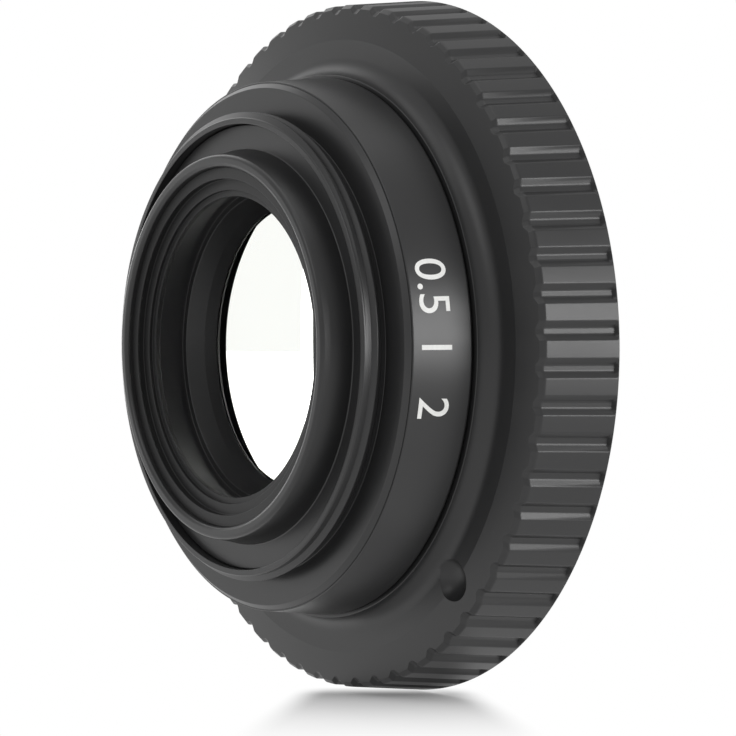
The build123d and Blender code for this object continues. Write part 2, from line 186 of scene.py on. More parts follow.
def colour(name, description, *default):
    """A linear colour."""
    return FloatVectorProperty(
        name=name, description=description, default=default, size=3, min=0, max=1, subtype="COLOR"
    )


def position(name, description, *place):
    """A place in metres."""
    return FloatVectorProperty(
        name=name, description=description, default=place, size=3, subtype="TRANSLATION", unit="LENGTH"
    )


class TurningSizes(bpy.types.PropertyGroup):
    """How finely the turned pieces are cut."""

    segments: count("Segments", "Steps of a turned piece round the axis", 248)
    corner_steps: count("Corner steps", "Steps of a rounded edge", 3)
    glass_steps: count("Glass steps", "Rings from the axis to the edge of a glass face", 36)
    fine_edge: length("Fine edge", "Radius that deburring leaves on a turned edge", 0.05 * MM)
    soft_edge: length("Soft edge", "Radius of an edge that was broken for the hand", 0.12 * MM)
    margin: length("Margin", "Distance from a rounded edge to the ring that keeps a face flat", 0.05 * MM)


class MountRingSizes(bpy.types.PropertyGroup):
    """Mounting ring with the male filter thread."""

    bore: length("Spigot bore", "Radius inside the spigot", reach("spacing_shim") + RUNNING_GAP)
    seat_radius: length("Seat", "Outer radius of the seat", THREAD_RADIUS + 1.94 * MM)
    shank_radius: length("Shank", "Radius that fits in the barrel", THREAD_RADIUS + 1.1 * MM)
    pitch: length("Pitch", "Distance between two turns of the thread", 0.75 * MM)
    depth: length("Depth", "Height of the thread from its root", 0.44 * MM)
    crest: length("Crest", "Width of the flat on top of the thread", 0.09 * MM)
    root_width: length("Root width", "Width of the thread at its root", 0.6 * MM)
    lead: length("Lead chamfer", "Chamfer on the end of the spigot", 0.3 * MM)
    relief: length("Relief", "Width of the groove between thread and seat", 0.5 * MM)
    relief_depth: length("Relief depth", "How far the relief lies under the thread's root", 0.08 * MM)
    run_out: factor("Run-out", "Share of the thread over which each end grows from nothing", 0.12)


class RearCellSizes(bpy.types.PropertyGroup):
    """Rear tube, recess floor and the bore that funnels down to the glass."""

    lip: length("Tube lip", "Radius that rounds the end of the tube", 0.3 * MM)
    wall: length("Tube wall", "Thickness of the tube at its end", 0.94 * MM)
    taper: length("Tube taper", "How much wider the tube is at its root", 0.5 * MM)
    recess: length("Recess", "Distance from the spigot's end to the floor of the recess", 0.74 * MM)
    shank_end: length("Shank end", "Station where the shank ends", 2.4 * MM)
    body_radius: length("Body", "Radius in front of the shank", 14.94 * MM)
    body_end: length("Body end", "Station where the body ends", 5.42 * MM)
    nose_radius: length("Nose", "Outer radius of the nose", 13.31 * MM)
    rear_bore: length("Rear bore", "Radius of the bore behind the funnel", 12.6 * MM)
    funnel: length("Funnel", "Radius where the funnel starts", 12.1 * MM)
    funnel_station: length("Funnel station", "Station where the funnel starts", 0.69 * MM)
    bevel: length("Bevel", "Radius where the bevel in front of the glass starts", 11.5 * MM)
    bevel_station: length("Bevel station", "Station where that bevel starts", 2.1 * MM)
    pocket: length("Pocket", "Station of the seat of the rear glass", 3.08 * MM)


class BaffleSizes(bpy.types.PropertyGroup):
    """Stepped baffle inside the rear tube."""

    tread: length("Tread", "Width of a step", 0.88 * MM)
    rise: length("Rise", "Height of a step", 0.57 * MM)
    lip_width: length("Lip width", "Width of the lip", 0.48 * MM)
    lip_rise: length("Lip rise", "Height from the last step to the lip", 0.32 * MM)
    lip_thickness: length("Lip thickness", "Thickness of the lip", 0.4 * MM)


class BarrelSizes(bpy.types.PropertyGroup):
    """Tapered marking band and the journal of the grip ring."""

    front: length("Front", "Station of the band's front edge", 5.5 * MM)
    rear_step: length("Rear step", "How far the barrel stands out from the mounting ring", 0.14 * MM)
    journal: length("Journal", "Radius that the grip ring turns on", bore("grip_ring") - RUNNING_GAP)
    edge: length("Edge", "Radius of the band's front edge", 0.15 * MM)


class GripSizes(bpy.types.PropertyGroup):
    """Knurled grip ring."""

    hub_land: length("Hub land", "Height of the parting groove's floor over the journal", 1.0 * MM)
    parting: length("Parting groove", "Depth of the parting groove's floor behind the hub", 0.16 * MM)
    hub_step: length("Hub step", "How far the hub stands out from the barrel", 0.22 * MM)
    fillet: length("Fillet", "Radius between the hub and the shoulder", 1.45 * MM)
    shoulder: length("Shoulder", "Width of the flat of the shoulder", 1.4 * MM)
    shoulder_rise: length("Shoulder rise", "Rise of the cone from the flat to the rim", 0.36 * MM)
    rim_rise: length("Rim rise", "Height of the bevelled rear edge of the knurl", 0.34 * MM)
    rim_width: length("Rim width", "Length of that bevel along the axis", 0.34 * MM)
    rim_edge: length("Rim edge", "Radius between that bevel and the lands", 0.3 * MM)
    taper: length("Knurl taper", "How much wider the knurl is at its front end", 0.63 * MM)
    end_land: length("End land", "Width of the smooth band in front of the grooves", 0.06 * MM)
    run_out: length("Groove run-out", "Length over which a groove ends before that band", 0.14 * MM)
    front_edge: length("Front edge", "Radius of the front edge", 0.08 * MM)
    bore_chamfer: length("Bore chamfer", "Chamfer inside the front edge", 0.4 * MM)
    grooves: count("Grooves", "Grooves round the ring", 62)
    depth: length("Groove depth", "Depth of a groove", 0.35 * MM)
    top_share: factor("Groove top", "Share of the pitch that a groove takes at its top", 0.53)
    floor_share: factor("Groove floor", "Share of the pitch that a groove takes at its floor", 0.17)
    land_edge: length("Land edge", "Radius on the edges of the lands", 0.2 * MM)
    floor_edge: length("Floor edge", "Radius in the corners of a groove", 0.33 * MM)
    ball: length("Dimple ball", "Radius of the ball that cuts the index dimple", 2.0 * MM)
    dimple_depth: length("Dimple depth", "Depth of the index dimple under the shoulder", 0.9 * MM)
    dimple_outset: length("Dimple outset", "From the fillet's end to the dimple's middle", 1.15 * MM)
    dimple_angle: angle("Dimple angle", "Place of the dimple round the axis, from +X towards +Z", -47.0)


class GlassSizes(bpy.types.PropertyGroup):
    """Curves of the glasses."""

    crown_rear: length("Crown rear", "Radius of the rear face of the doublet", 38.0 * MM)
    flint_front: length("Flint front", "Radius of the front face of the doublet", 120.0 * MM)
    second_front: length("Second front", "Radius of the front face of the second glass", 60.0 * MM)
    second_rear: length("Second rear", "Radius of its hollow rear face", 40.0 * MM)
    dome: length("Dome", "Radius of the front glass", 34.0 * MM)
    hollow: length("Hollow", "Radius of the hollow face behind the dome", 18.0 * MM)
    dome_thickness: length("Dome thickness", "Thickness of the front glass on the axis", 3.0 * MM)


class RingSizes(bpy.types.PropertyGroup):
    """Rings round the front glass."""

    cell_edge: length("Cell edge", "Chamfer on the rim of the front cell", 0.15 * MM)
    nut_edge: length("Nut edge", "Chamfer on the helicoid nut", 0.2 * MM)
    bevel: length("Retainer bevel", "Bevel inside the front retainer", 0.6 * MM)
    seal_section: length("Seal section", "Radius of the rubber ring's section", 0.45 * MM)
    seal_steps: count("Seal steps", "Steps round the rubber ring's section", 20)


class DialSizes(bpy.types.PropertyGroup):
    """White numerals on the barrel."""

    numerals: StringProperty(name="Numerals", description="Numbers, from the top down", default="0.5 1 2")
    height: length("Height", "Height of a numeral", 2.55 * MM)
    baseline: length("Baseline", "Distance from the barrel's rear edge to the numerals", 0.73 * MM)
    centre: angle("Centre", "Middle of the numerals round the axis", 0.4)
    spacing: angle("Spacing", "Angle between the middles of two numerals", 12.4)
    paint: length("Paint", "Thickness of the paint", 0.02 * MM)
    slice: length("Slice", "Width of the slices that let a numeral bend", 0.25 * MM)


class FinishColours(bpy.types.PropertyGroup):
    """Colours of the finishes."""

    anodised: colour("Anodised", "Satin black of the barrel and rings", 0.019, 0.019, 0.0195)
    grip: colour("Grip", "Black of the knurled ring", 0.019, 0.019, 0.0195)
    inner: colour("Inner", "Matt black inside the lens", 0.012, 0.012, 0.0123)
    glass: colour("Glass", "Tint of the glass", 0.996, 0.998, 0.992)
    paint: colour("Numerals", "White of the numerals", 0.8, 0.8, 0.78)
    rubber: colour("Rubber", "Black of the seal", 0.012, 0.012, 0.012)
    steel: colour("Pins", "Grey of the ground pins", 0.55, 0.55, 0.56)
    plastic: colour("Washer", "White of the glide washer", 0.78, 0.78, 0.75)
    floor: colour("Floor", "White of the floor", 0.9, 0.9, 0.9)


class StageSizes(bpy.types.PropertyGroup):
    """Camera, floor with its painted shadow patch, room and lamps."""

    azimuth: angle("Azimuth", "Camera's turn round the lens from the rear", 55.85)
    elevation: angle("Elevation", "Camera's height over the horizon", 1.03)
    distance: number("Distance", "Camera's distance in grip radii", 9.577)
    aside: number("Aside", "Camera's sideways shift in grip radii", -0.1093)
    below: number("Below", "Camera's vertical shift in grip radii", -0.065)
    focal: camera_length("Focal length", "Camera's focal length", 160.7)
    floor_size: length("Floor", "Half the width of the floor", 3.0)
    # The shadow sizes shape a painted shadow: a wedge of lit, greyer floor that fades out towards the
    # camera. Inside it the lamps also cast the lens's real shadow.
    shadow_aside: length("Shadow aside", "Middle of the shadow, across the camera's view", 10.3 * MM)
    shadow_start: length("Shadow start", "Where the shadow is full, towards the camera", -3 * MM)
    shadow_half: length("Shadow half", "Half the width within which the floor takes shadow", 8.2 * MM)
    shadow_lead: length("Shadow lead", "How far behind its start the shadow begins to fade", 12 * MM)
    shadow_depth: length("Shadow depth", "How far the shadow fades out towards the camera", 39 * MM)
    shadow_back: length("Shadow back", "How far the shadow fades out away from the camera", 6 * MM)
    shadow_core: factor("Shadow core", "Share of the half width over which the shadow is full", 0.6)
    shadow_flare: factor("Shadow flare", "How much the shadow widens towards the camera", 0.15)
    mirrored: factor("Mirrored", "Brightness of the room in reflections", 0.65)
    ambient: factor("Ambient", "Brightness of the room as it lights the lens", 0.6)
    aim: position("Aim", "Place that the lamps point at", 0, 8 * MM, 0)
    right_place: position("Right lamp", "Middle of the right soft box", 0.324, 0.166, 0.007)
    right_width: length("Right width", "Width of the right soft box", 0.11)
    right_height: length("Right height", "Height of the right soft box", 0.22)
    right_power: power("Right power", "Power of the right soft box", 0.72)
    top_place: position("Top lamp", "Middle of the top soft box", 0.03, -0.01, 0.37)
    top_width: length("Top width", "Width of the top soft box", 0.3)
    top_height: length("Top height", "Depth of the top soft box", 0.3)
    top_power: power("Top power", "Power of the top soft box", 0.18)
    left_place: position("Left lamp", "Middle of the high left soft box", -0.3, 0.008, 0.2)
    left_width: length("Left width", "Width of the high left soft box", 0.2)
    left_height: length("Left height", "Height of the high left soft box", 0.2)
    left_power: power("Left power", "Power of the high left soft box", 0.14)
    side_place: position("Side lamp", "Middle of the low left strip", -0.357, -0.03, 0.019)
    side_width: length("Side width", "Width of the low left strip", 0.2)
    side_height: length("Side height", "Height of the low left strip", 0.1)
    side_power: power("Side power", "Power of the low left strip", 0.16)
    rear_place: position("Rear lamp", "Middle of the soft box behind the mount", 0.073, -0.267, 0.22)
    rear_width: length("Rear width", "Width of the soft box behind the mount", 0.2)
    rear_height: length("Rear height", "Height of the soft box behind the mount", 0.2)
    rear_power: power("Rear power", "Power of the soft box behind the mount", 0.15)


class LensSettings(bpy.types.PropertyGroup):
    """All sizes and colours, by group."""

    turning: PointerProperty(type=TurningSizes)
    mount: PointerProperty(type=MountRingSizes)
    cell: PointerProperty(type=RearCellSizes)
    baffle: PointerProperty(type=BaffleSizes)
    barrel: PointerProperty(type=BarrelSizes)
    grip: PointerProperty(type=GripSizes)
    glass: PointerProperty(type=GlassSizes)
    rings: PointerProperty(type=RingSizes)
    dial: PointerProperty(type=DialSizes)
    colours: PointerProperty(type=FinishColours)
    stage: PointerProperty(type=StageSizes)


def settings():
    """The scene's lens settings."""
    return bpy.context.scene.lens


def rounded(corners):
    """Points of a closed outline of corners (radius, station, rounding).

    A rounded corner becomes an arc between two points that keep the faces beside it flat.
    """
    sizes = settings().turning
    points = []
    for index, (radius, station, rounding) in enumerate(corners):
        corner = Vector((radius, station))
        if rounding == 0:
            points.append(corner)
            continue
        before = Vector(corners[index - 1][:2]) - corner
        after = Vector(corners[(index + 1) % len(corners)][:2]) - corner
        half = before.angle(after) / 2
        tangent = min(rounding / math.tan(half), ROUNDING_SHARE * min(before.length, after.length))
        inward = (before.normalized() + after.normalized()).normalized()
        centre = corner + inward * tangent / math.cos(half)
        arm = corner + before.normalized() * tangent - centre
        sweep = math.copysign(math.pi - 2 * half, -before.cross(after))
        turns = [sweep * step / sizes.corner_steps for step in range(sizes.corner_steps + 1)]
        holds = [min(tangent + sizes.margin, HOLD_SHARE * face.length) for face in (before, after)]
        points.append(corner + before.normalized() * holds[0])
        points += [centre + Matrix.Rotation(turn, 2) @ arm for turn in turns]
        points.append(corner + after.normalized() * holds[1])
    return points


def sag(curve, height):
    """Depth of a spherical face at a height above the axis."""
    return curve - math.sqrt(curve**2 - height**2)


def glass_face(vertex, curve, edge, way):
    """Corners of a spherical face from the axis out, with its edge on the side that way gives."""
    steps = settings().turning.glass_steps
    heights = [edge * step / steps for step in range(steps + 1)]
    return [(height, vertex + way * sag(curve, height), 0) for height in heights]


def dome_edge(sizes):
    """Station of the edge of the dome, where its sphere meets its cylinder."""
    return front("front_element") - sag(sizes.dome, reach("front_element"))


def object_of(mesh):
    """A new object in the scene that holds the mesh."""
    made = bpy.data.objects.new(mesh.name, mesh)
    bpy.context.scene.collection.objects.link(made)
    return made


def close_and_shade(mesh, crease=CREASE):
    """Merges doubles, points the faces outwards and shades smooth between creases."""
    shell = bmesh.new()
    shell.from_mesh(mesh)
    bmesh.ops.remove_doubles(shell, verts=shell.verts, dist=WELD)
    bmesh.ops.recalc_face_normals(shell, faces=shell.faces)
    shell.to_mesh(mesh)
    shell.free()
    mesh.shade_smooth()
    mesh.set_sharp_from_angle(angle=crease)


def grid_mesh(name, rows, wrap):
    """A mesh of quads between closed rows of points. With wrap, the last row meets the first."""
    across = len(rows[0])
    last = len(rows) if wrap else len(rows) - 1
    faces = [
        (
            row * across + index,
            row * across + (index + 1) % across,
            (row + 1) % len(rows) * across + (index + 1) % across,
            (row + 1) % len(rows) * across + index,
        )
        for row in range(last)
        for index in range(across)
    ]
    mesh = bpy.data.meshes.new(name)
    mesh.from_pydata([point for row in rows for point in row], [], faces)
    return mesh


def about_axis(point, turn):
    """A point (radius, station) of an outline, turned to an angle from +X towards +Z."""
    return (point[0] * math.cos(turn), point[1], point[0] * math.sin(turn))


def turned(name, corners, finish):
    """A piece turned from a closed outline about the Y axis."""
    outline = rounded(corners)
    segments = settings().turning.segments
    turns = [FULL_TURN * step / segments for step in range(segments)]
    rows = [[about_axis(point, turn) for point in outline] for turn in turns]
    mesh = grid_mesh(name, rows, wrap=True)
    close_and_shade(mesh)
    mesh.materials.append(finish)
    return object_of(mesh)


def baked(piece):
    """The piece as a plain mesh with its modifiers applied, under the same name."""
    name = piece.name
    unbaked = piece.data
    evaluated = piece.evaluated_get(bpy.context.evaluated_depsgraph_get())
    mesh = bpy.data.meshes.new_from_object(evaluated)
    bpy.data.objects.remove(piece)
    bpy.data.meshes.remove(unbaked)
    mesh.name = name
    return object_of(mesh)


def place(piece, body, slot, *nodes):
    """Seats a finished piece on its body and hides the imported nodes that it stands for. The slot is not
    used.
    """
    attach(piece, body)
    if nodes:
        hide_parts(*nodes)


def turned_node(node, corners, finish, body, slot):
    """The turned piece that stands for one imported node, seated on its body."""
    place(turned(node + "_turned", corners, finish), body, slot, node)


class Socket:
    """An output in an expression. Each operation adds a Math node."""

    def __init__(self, graph, socket):
        self.graph = graph
        self.socket = socket

    def op(self, operation, *others):
        """The result of a Math operation on this value and others."""
        return self.graph.node("ShaderNodeMath", dict(enumerate((self, *others))), operation=operation)

    def __add__(self, other):
        return self.op("ADD", other)

    __radd__ = __add__

    def __mul__(self, other):
        return self.op("MULTIPLY", other)

    __rmul__ = __mul__

    def __sub__(self, other):
        return self.op("SUBTRACT", other)

    def __rsub__(self, other):
        return self * -1 + other

    def __truediv__(self, other):
        return self.op("DIVIDE", other)

    def sibling(self, name):
        """Another output of the same node."""
        return Socket(self.graph, self.socket.node.outputs[name])


class Graph:
    """A node tree under construction."""

    def __init__(self, tree):
        self.tree = tree
        tree.nodes.clear()

    def node(self, kind, inputs=None, **options):
        """Adds a node, sets its options and then its sockets, and returns its first enabled output."""
        made = self.tree.nodes.new(kind)
        for option, value in options.items():
            setattr(made, option, value)
        for key, value in (inputs or {}).items():
            if isinstance(value, Socket):
                self.tree.links.new(value.socket, made.inputs[key])
            else:
                made.inputs[key].default_value = value
        used = [output for output in made.outputs if output.enabled]
        return Socket(self, used[0]) if used else None

    def input(self, name, kind):
        """The identifier of a new named input of a Geometry Nodes tree."""
        return self.tree.interface.new_socket(name=name, in_out="INPUT", socket_type=kind).identifier


def material(name, build):
    """The material of that name, built on first use. build takes a graph and returns its surface."""
    found = bpy.data.materials.get(name)
    if found:
        return found
    made = bpy.data.materials.new(name)
    made.use_nodes = True
    graph = Graph(made.node_tree)
    graph.node("ShaderNodeOutputMaterial", {"Surface": build(graph)})
    return made


def own_place(graph):
    """Object coordinates."""
    return graph.node("ShaderNodeTexCoord").sibling("Object")


def fade(graph, value, start, end):
    """A smooth rise from 0 at start to 1 at end."""
    limits = {"Value": value, "From Min": start, "From Max": end, "To Min": 0.0, "To Max": 1.0}
    return graph.node("ShaderNodeMapRange", limits, interpolation_type="SMOOTHSTEP")


def noise(graph, spot, scale, detail=FINE_DETAIL):
    """A noise value from 0 to 1."""
    return graph.node("ShaderNodeTexNoise", {"Vector": spot, "Scale": scale, "Detail": detail})


def grained(graph, base, tone, roughness, height, depth, constants):
    """A surface whose colour, gloss and bumps vary, with the constants on its other sockets."""
    shade = graph.node("ShaderNodeVectorMath", {0: tuple(base), "Scale": tone}, operation="SCALE")
    bump = graph.node("ShaderNodeBump", {"Strength": BUMP_STRENGTH, "Distance": depth, "Height": height})
    inputs = {"Base Color": shade, "Roughness": roughness, "Normal": bump}
    return graph.node("ShaderNodeBsdfPrincipled", inputs | constants)


def anodised(base, roughness, specular, grain, marks):
    """Black anodised metal: bead-blast grain, faint turning marks and slightly uneven dye."""

    def build(graph):
        spot = own_place(graph)
        across = graph.node("ShaderNodeSeparateXYZ", {0: spot})
        along, up = across.sibling("Y"), across.sibling("Z")
        radius = (across * across + up * up).op("SQRT")
        blast = noise(graph, spot, BLAST_SCALE)
        cloud = noise(graph, spot, CLOUD_SCALE, CLOUD_DETAIL)
        path = (radius + along * TURNING_SLANT) * TURNING_SCALE
        turning = graph.node("ShaderNodeTexNoise", {"W": path, "Detail": FINE_DETAIL}, noise_dimensions="1D")
        height = blast * grain + turning * marks
        tone = cloud * DYE_SPREAD + (1 - DYE_SPREAD / 2)
        least = roughness - (CLOUD_GLOSS + BLAST_GLOSS) / 2
        gloss = cloud * CLOUD_GLOSS + blast * BLAST_GLOSS + least
        return grained(graph, base, tone, gloss, height, GRAIN_DEPTH, {"Specular IOR Level": specular})

    return build


def satin_black():
    """Finish of the barrel, the mounting ring and the rear tube."""
    return material("satin_black_anodise", anodised(
        settings().colours.anodised, roughness=0.33, specular=0.5, grain=0.5, marks=0.4
    ))


def grip_black():
    """Finish of the knurled ring."""
    return material("grip_black_anodise", anodised(
        settings().colours.grip, roughness=0.38, specular=0.5, grain=0.6, marks=0.25
    ))


def inner_black():
    """Matt finish inside the lens."""
    return material("inner_black_anodise", anodised(
        settings().colours.inner, roughness=0.5, specular=0.35, grain=0.6, marks=0.6
    ))


def coated_glass():
    """Glass whose coating passes most of the light that plain glass would mirror."""

    def build(graph):
        tint = (*settings().colours.glass, 1)
        clear = graph.node("ShaderNodeBsdfRefraction", {"Color": tint, "Roughness": 0.0, "IOR": GLASS_INDEX})
        mirroring = graph.node("ShaderNodeBsdfPrincipled", {
            "Base Color": tint,
            "Roughness": 0.0,
            "IOR": GLASS_INDEX,
            "Transmission Weight": 1.0,
            "Thin Film Thickness": COATING_THICKNESS,
            "Thin Film IOR": COATING_INDEX,
        })
        return graph.node("ShaderNodeMixShader", {0: MIRROR_SHARE, 1: clear, 2: mirroring})

    return material("clear_optical_glass", build)


def plain_finish(name, base, roughness, scale, depth, metallic=0.0, specular=0.5):
    """A finish with a fine grain in its tone, gloss and surface."""

    def build(graph):
        grain = noise(graph, own_place(graph), scale, CLOUD_DETAIL)
        tone = grain * GRAIN_SPREAD + (1 - GRAIN_SPREAD / 2)
        gloss = grain * GRAIN_GLOSS + (roughness - GRAIN_GLOSS / 2)
        constants = {"Metallic": metallic, "Specular IOR Level": specular}
        return grained(graph, base, tone, gloss, grain, depth, constants)

    return material(name, build)


def edge_black():
    """Paint on the ground edges of the glasses."""
    black = settings().colours.inner
    return plain_finish(
        "edge_blacking", black, roughness=0.7, scale=6000.0, depth=GRAIN_DEPTH, specular=0.2
    )


def dial_white():
    """Paint of the numerals."""
    white = settings().colours.paint
    return plain_finish("dial_paint", white, roughness=0.5, scale=4000.0, depth=PAINT_GRAIN)


def mount_ring_corners(sizes, edges):
    """Outline of the mounting ring without the ridge of its thread."""
    root = THREAD_RADIUS - sizes.depth
    spigot = rear("mount_ring")
    web = front("spacing_shim")
    seat = 0
    flange_edge = reach("mount_ring") - sizes.seat_radius
    shank = front("mount_ring")
    return [
        (sizes.bore, spigot, edges.fine_edge),
        (root - sizes.lead / 4, spigot, edges.fine_edge),
        (root, spigot + sizes.lead / 4, edges.fine_edge),
        (root, seat - sizes.relief, edges.fine_edge),
        (root - sizes.relief_depth, seat - sizes.relief + sizes.relief_depth, edges.fine_edge),
        (root - sizes.relief_depth, seat, edges.fine_edge),
        (sizes.seat_radius, seat, edges.fine_edge),
        (reach("mount_ring"), seat + flange_edge, edges.fine_edge),
        (reach("mount_ring"), rear("barrel"), 0),
        (sizes.shank_radius, rear("barrel"), 0),
        (sizes.shank_radius, shank, 0),
        (bore("mount_ring"), shank, 0),
        (bore("mount_ring"), web, 0),
        (sizes.bore, web, 0),
    ]


def rear_cell_corners(sizes, edges):
    """Outline of the rear cell, from the end of its tube round to the bore."""
    tube = rear("rear_cell")
    tube_bore = reach("rear_baffle") + SEATING_GAP
    recess = rear("mount_ring") + sizes.recess
    flange = reach("spacing_shim")
    shank = bore("mount_ring") - SEATING_GAP
    glass = reach("doublet_crown") + SEATING_GAP
    clear = bore("rear_cell")
    fine = edges.fine_edge
    return [
        (tube_bore, tube, sizes.lip),
        (tube_bore + sizes.wall, tube, sizes.lip),
        (tube_bore + sizes.wall + sizes.taper, recess, 2 * fine),
        (flange, recess, fine),
        (flange, rear("spacing_shim"), 0),
        (shank, rear("spacing_shim"), 0),
        (shank, sizes.shank_end, fine),
        (sizes.body_radius, sizes.shank_end, fine),
        (sizes.body_radius, sizes.body_end, fine),
        (sizes.nose_radius, sizes.body_end, fine),
        (sizes.nose_radius, front("rear_cell"), fine),
        (glass, front("rear_cell"), fine),
        (glass, sizes.pocket, 0),
        (clear, sizes.pocket, fine),
        (sizes.bevel, sizes.bevel_station, fine),
        (sizes.funnel, sizes.funnel_station, fine),
        (sizes.rear_bore, sizes.funnel_station, fine),
        (sizes.rear_bore, front("rear_baffle"), fine),
        (tube_bore, front("rear_baffle"), fine),
    ]


def baffle_corners(sizes, edges):
    """Outline of the stepped baffle."""
    outer = reach("rear_baffle")
    first = rear("rear_baffle")
    second = first + sizes.rise
    lip = second + sizes.lip_rise
    fine = edges.fine_edge
    return [
        (outer, first, 0),
        (outer, front("rear_baffle"), 0),
        (settings().cell.rear_bore, front("rear_baffle"), 0),
        (bore("rear_baffle"), lip + sizes.lip_thickness, fine),
        (bore("rear_baffle"), lip, fine),
        (bore("rear_baffle") + sizes.lip_width, lip, fine),
        (bore("rear_baffle") + sizes.lip_width, second, fine),
        (outer - sizes.tread, second, fine),
        (outer - sizes.tread, first, fine),
    ]


def barrel_corners(sizes, edges):
    """Outline of the barrel."""
    shank = settings().mount.shank_radius + SEATING_GAP
    shank_end = front("mount_ring") + SHANK_GAP
    return [
        (shank, rear("barrel"), 0),
        (reach("mount_ring") + sizes.rear_step, rear("barrel"), edges.fine_edge),
        (reach("barrel"), sizes.front, sizes.edge),
        (sizes.journal, sizes.front, 0),
        (sizes.journal, front("barrel"), edges.fine_edge),
        (bore("barrel"), front("barrel"), edges.fine_edge),
        (bore("barrel"), shank_end, 0),
        (shank, shank_end, 0),
    ]


def groove_section(sizes):
    """Points (angle, depth) across one pitch of the knurl, from one land's middle to the next."""
    top = reach("grip_ring")
    across = FULL_TURN / sizes.grooves * top
    half = rounded([
        (0, -sizes.depth, 0),
        (sizes.floor_share * across / 2, -sizes.depth, sizes.floor_edge),
        (sizes.top_share * across / 2, 0, sizes.land_edge),
        (across / 2, 0, 0),
    ])
    right = [(point.x / top, -point.y) for point in half]
    return [(-turn, depth) for turn, depth in reversed(right[1:])] + right


def grip_corners(sizes, edges, depth):
    """Outline of the grip ring at one angle, where its knurl lies the given depth under the lands."""
    top = reach("grip_ring")
    fine, soft = edges.fine_edge, edges.soft_edge
    hub = reach("barrel") + sizes.hub_step
    land = bore("grip_ring") + sizes.hub_land
    hub_edge = rear("grip_ring") + sizes.parting
    shoulder = hub_edge + sizes.fillet
    fillet_centre = Vector((hub + sizes.fillet, hub_edge))
    fillet = [
        (
            fillet_centre.x - sizes.fillet * math.cos(turn),
            fillet_centre.y + sizes.fillet * math.sin(turn),
            0,
        )
        for turn in (math.pi / 2 * step / FILLET_STEPS for step in range(1, FILLET_STEPS + 1))
    ]
    flat_end = Vector((fillet[-1][0] + sizes.shoulder, shoulder))
    knurl_rear = Vector((top - sizes.taper, shoulder + sizes.shoulder_rise + sizes.rim_width))
    rim_start = knurl_rear - Vector((sizes.rim_rise, sizes.rim_width))
    slope = (rim_start.y - flat_end.y) / (rim_start.x - flat_end.x)
    cone_gap = knurl_rear.y - flat_end.y - slope * (knurl_rear.x - depth - flat_end.x)
    back = cone_gap / (sizes.rim_width - slope * sizes.rim_rise)
    front_station = front("grip_ring")
    widening = sizes.taper / (front_station - knurl_rear.y)
    groove_end = front_station - sizes.end_land - sizes.run_out
    band = front_station - sizes.end_land
    inner = reach("helicoid_nut") + SEATING_GAP
    web = rear("helicoid_nut")
    return [
        (bore("grip_ring"), web, 0),
        (bore("grip_ring"), rear("grip_ring"), 0),
        (land, rear("grip_ring"), 0),
        (land, hub_edge, 0),
        (hub, hub_edge, fine),
        *fillet,
        (flat_end.x, flat_end.y, soft),
        (knurl_rear.x - depth - back * sizes.rim_rise, knurl_rear.y - back * sizes.rim_width, fine),
        (knurl_rear.x - depth, knurl_rear.y, sizes.rim_edge),
        (knurl_rear.x + widening * (groove_end - knurl_rear.y) - depth, groove_end, 0),
        (knurl_rear.x + widening * (band - knurl_rear.y), band, 0),
        (top, front_station, sizes.front_edge),
        (inner + sizes.bore_chamfer, front_station, fine),
        (inner, front_station - sizes.bore_chamfer, fine),
        (inner, web, 0),
    ]


def grip_sector(sizes, edges, finish):
    """One pitch of the grip ring, as an open slice round the axis."""
    half_pitch = FULL_TURN / sizes.grooves / 2
    rows = [
        [about_axis(point, turn + half_pitch) for point in rounded(grip_corners(sizes, edges, depth))]
        for turn, depth in groove_section(sizes)
    ]
    mesh = grid_mesh("grip_sector", rows, wrap=False)
    mesh.materials.append(finish)
    return object_of(mesh)


def repeat_tree():
    """Geometry Nodes that set copies of a slice round the Y axis and join them."""
    tree = bpy.data.node_groups.new("repeat_round_axis", "GeometryNodeTree")
    graph = Graph(tree)
    inputs = {
        "Slice": graph.input("Slice", "NodeSocketObject"),
        "Count": graph.input("Count", "NodeSocketInt"),
        "Weld": graph.input("Weld", "NodeSocketFloat"),
        "Finish": graph.input("Finish", "NodeSocketMaterial"),
    }
    tree.interface.new_socket(name="Geometry", in_out="OUTPUT", socket_type="NodeSocketGeometry")
    given = graph.node("NodeGroupInput")
    slice_info = graph.node("GeometryNodeObjectInfo", {
        "Object": given.sibling("Slice"), "As Instance": True,
    })
    step = graph.node("GeometryNodeInputIndex") * FULL_TURN / given.sibling("Count")
    turn = graph.node("FunctionNodeAxisAngleToRotation", {"Axis": (0, 1, 0), "Angle": step})
    points = graph.node("GeometryNodePoints", {"Count": given.sibling("Count")})
    copies = graph.node("GeometryNodeInstanceOnPoints", {
        "Points": points, "Instance": slice_info.sibling("Geometry"), "Rotation": turn,
    })
    real = graph.node("GeometryNodeRealizeInstances", {"Geometry": copies})
    weld, finish = given.sibling("Weld"), given.sibling("Finish")
    welded = graph.node("GeometryNodeMergeByDistance", {"Geometry": real, "Distance": weld})
    painted = graph.node("GeometryNodeSetMaterial", {"Geometry": welded, "Material": finish})
    graph.node("NodeGroupOutput", {"Geometry": painted})
    return tree, inputs


